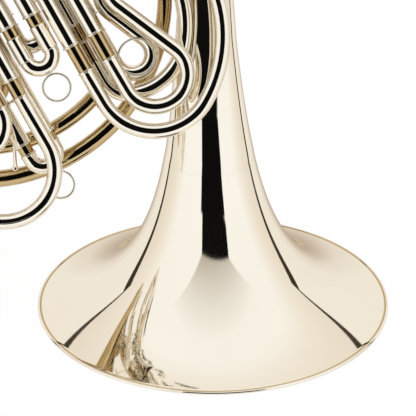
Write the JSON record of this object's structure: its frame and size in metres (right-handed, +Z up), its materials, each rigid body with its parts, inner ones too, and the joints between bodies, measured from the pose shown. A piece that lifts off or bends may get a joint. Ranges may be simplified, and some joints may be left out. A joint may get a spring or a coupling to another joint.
{
  "type": "french horn",
  "caption": "Double french horn standing on its bell, with rotary valves, levers, pull-out tuning slides and coiled tubing above a wide flared bell.",
  "frame": {"origin": "middle of the base of the whole horn, at the height of the bell rim", "axes": "+Z up, away from the bell rim; +X towards the bell side; -Y towards the front, where the valve caps face"},
  "size_m": [0.5912, 0.3088, 0.5245],
  "materials": {
    "silver": "polished silver plate on brass",
    "gold": "polished and lacquered brass",
    "steel": "fine brushed"
  },
  "bodies": {
    "horn": {"bell_flare": "silver", "bell_tail": "gold", "upper_bow": "gold", "left_bow": "gold", "first_branch": "gold", "inner_branch": "gold", "inner_return": "gold", "f_tuning_sleeves": "silver", "mouthpipe": "gold", "mouthpiece_receiver": "silver", "main_tuning_sleeves": "silver", "first_valve_casing": "silver", "second_valve_casing": "silver", "third_valve_casing": "silver", "change_valve_casing": "silver", "first_valve_cap": "silver", "second_valve_cap": "silver", "third_valve_cap": "silver", "change_valve_cap": "silver", "first_front_sleeves": "silver", "second_front_sleeves": "silver", "third_front_sleeves": "silver", "first_back_sleeves": "silver", "second_back_sleeves": "silver", "third_back_sleeves": "silver", "lever_bracket": "silver", "thumb_bracket": "silver", "finger_hook": "silver", "branch_brace": "silver", "first_spring": "steel", "second_spring": "steel", "third_spring": "steel"},
    "first_valve": {"first_rotor": "gold", "first_stop_arm": "steel"},
    "second_valve": {"second_rotor": "gold", "second_stop_arm": "steel"},
    "third_valve": {"third_rotor": "gold", "third_stop_arm": "steel"},
    "change_valve": {"change_rotor": "gold", "change_stop_arm": "steel"},
    "first_push_rod": {"first_rod": "steel"},
    "second_push_rod": {"second_rod": "steel"},
    "third_push_rod": {"third_rod": "steel"},
    "change_push_rod": {"change_rod": "steel"},
    "first_key": {"first_lever": "silver"},
    "second_key": {"second_lever": "silver"},
    "third_key": {"third_lever": "silver"},
    "thumb_key": {"thumb_lever": "silver"},
    "first_front": {"first_front_slide": "silver"},
    "second_front": {"second_front_slide": "silver", "second_pull_ring": "silver"},
    "third_front": {"third_front_slide": "silver"},
    "first_back": {"first_back_slide": "silver", "first_pull_ring": "silver"},
    "second_back": {"second_back_slide": "silver"},
    "third_back": {"third_back_slide": "silver", "third_pull_ring": "silver"},
    "main_tuning": {"main_tuning_slide": "silver"},
    "f_tuning": {"f_tuning_slide": "silver"}
  },
  "joints": [
    {"name": "first_valve_turn", "type": "hinge", "parent": "horn", "child": "first_valve", "pos_m": [-0.08158, 0.03315, 0.29107], "axis": [0, -0.9397, 0.342], "range_deg": [0, 90]},
    {"name": "second_valve_turn", "type": "hinge", "parent": "horn", "child": "second_valve", "pos_m": [-0.0461, 0.0399, 0.30963], "axis": [0, -0.9397, 0.342], "range_deg": [0, 90]},
    {"name": "third_valve_turn", "type": "hinge", "parent": "horn", "child": "third_valve", "pos_m": [-0.01211, 0.04637, 0.32741], "axis": [0, -0.9397, 0.342], "range_deg": [0, 90]},
    {"name": "change_valve_turn", "type": "hinge", "parent": "horn", "child": "change_valve", "pos_m": [0.02275, 0.05301, 0.34564], "axis": [0, -0.9397, 0.342], "range_deg": [0, 90]},
    {"name": "first_rod_slide", "type": "slide", "parent": "horn", "child": "first_push_rod", "axis": [0.4863, -0.2988, -0.8211], "range_m": [0, 0.0079]},
    {"name": "second_rod_slide", "type": "slide", "parent": "horn", "child": "second_push_rod", "axis": [0.4863, -0.2988, -0.8211], "range_m": [0, 0.0079]},
    {"name": "third_rod_slide", "type": "slide", "parent": "horn", "child": "third_push_rod", "axis": [0.4863, -0.2988, -0.8211], "range_m": [0, 0.0079]},
    {"name": "change_rod_slide", "type": "slide", "parent": "horn", "child": "change_push_rod", "axis": [0.4863, -0.2988, -0.8211], "range_m": [0, 0.0079]},
    {"name": "first_lever_press", "type": "hinge", "parent": "horn", "child": "first_key", "pos_m": [-0.11065, 0.02917, 0.41901], "axis": [-0.8738, -0.1663, -0.457], "range_deg": [0, 12], "stiffness_Nm_per_rad": 0.4, "springref_deg": -14.32},
    {"name": "second_lever_press", "type": "hinge", "parent": "horn", "child": "second_key", "pos_m": [-0.11065, 0.02917, 0.41901], "axis": [-0.8738, -0.1663, -0.457], "range_deg": [0, 12], "stiffness_Nm_per_rad": 0.4, "springref_deg": -14.32},
    {"name": "third_lever_press", "type": "hinge", "parent": "horn", "child": "third_key", "pos_m": [-0.11065, 0.02917, 0.41901], "axis": [-0.8738, -0.1663, -0.457], "range_deg": [0, 12], "stiffness_Nm_per_rad": 0.4, "springref_deg": -14.32},
    {"name": "thumb_lever_press", "type": "hinge", "parent": "horn", "child": "thumb_key", "pos_m": [-0.04789, 0.0986, 0.37002], "axis": [0.8738, 0.1663, 0.457], "range_deg": [0, 20], "stiffness_Nm_per_rad": 0.3, "springref_deg": -14.32},
    {"name": "first_front_pull", "type": "slide", "parent": "horn", "child": "first_front", "axis": [0.4863, -0.2988, -0.8211], "range_m": [-0.01, 0.025]},
    {"name": "second_front_pull", "type": "slide", "parent": "horn", "child": "second_front", "axis": [0.4863, -0.2988, -0.8211], "range_m": [-0.008, 0.012]},
    {"name": "third_front_pull", "type": "slide", "parent": "horn", "child": "third_front", "axis": [0.4863, -0.2988, -0.8211], "range_m": [-0.01, 0.025]},
    {"name": "first_back_pull", "type": "slide", "parent": "horn", "child": "first_back", "axis": [0.4863, -0.2988, -0.8211], "range_m": [-0.007, 0.025]},
    {"name": "second_back_pull", "type": "slide", "parent": "horn", "child": "second_back", "axis": [0.4863, -0.2988, -0.8211], "range_m": [-0.007, 0.008]},
    {"name": "third_back_pull", "type": "slide", "parent": "horn", "child": "third_back", "axis": [0.4863, -0.2988, -0.8211], "range_m": [-0.01, 0.006]},
    {"name": "main_tuning_pull", "type": "slide", "parent": "horn", "child": "main_tuning", "axis": [-0.8738, -0.1663, -0.457], "range_m": [-0.005, 0.022]},
    {"name": "f_tuning_pull", "type": "slide", "parent": "horn", "child": "f_tuning", "axis": [-1, 0, 0], "range_m": [-0.002, 0.012]}
  ],
  "couplings": [
    {"joint": "first_rod_slide", "follows": "first_valve_turn", "m_per_rad": 0.005},
    {"joint": "second_rod_slide", "follows": "second_valve_turn", "m_per_rad": 0.005},
    {"joint": "third_rod_slide", "follows": "third_valve_turn", "m_per_rad": 0.005},
    {"joint": "change_rod_slide", "follows": "change_valve_turn", "m_per_rad": 0.005},
    {"joint": "first_lever_press", "follows": "first_valve_turn", "ratio": 0.1333},
    {"joint": "second_lever_press", "follows": "second_valve_turn", "ratio": 0.1333},
    {"joint": "third_lever_press", "follows": "third_valve_turn", "ratio": 0.1333},
    {"joint": "thumb_lever_press", "follows": "change_valve_turn", "ratio": 0.2222}
  ]
}
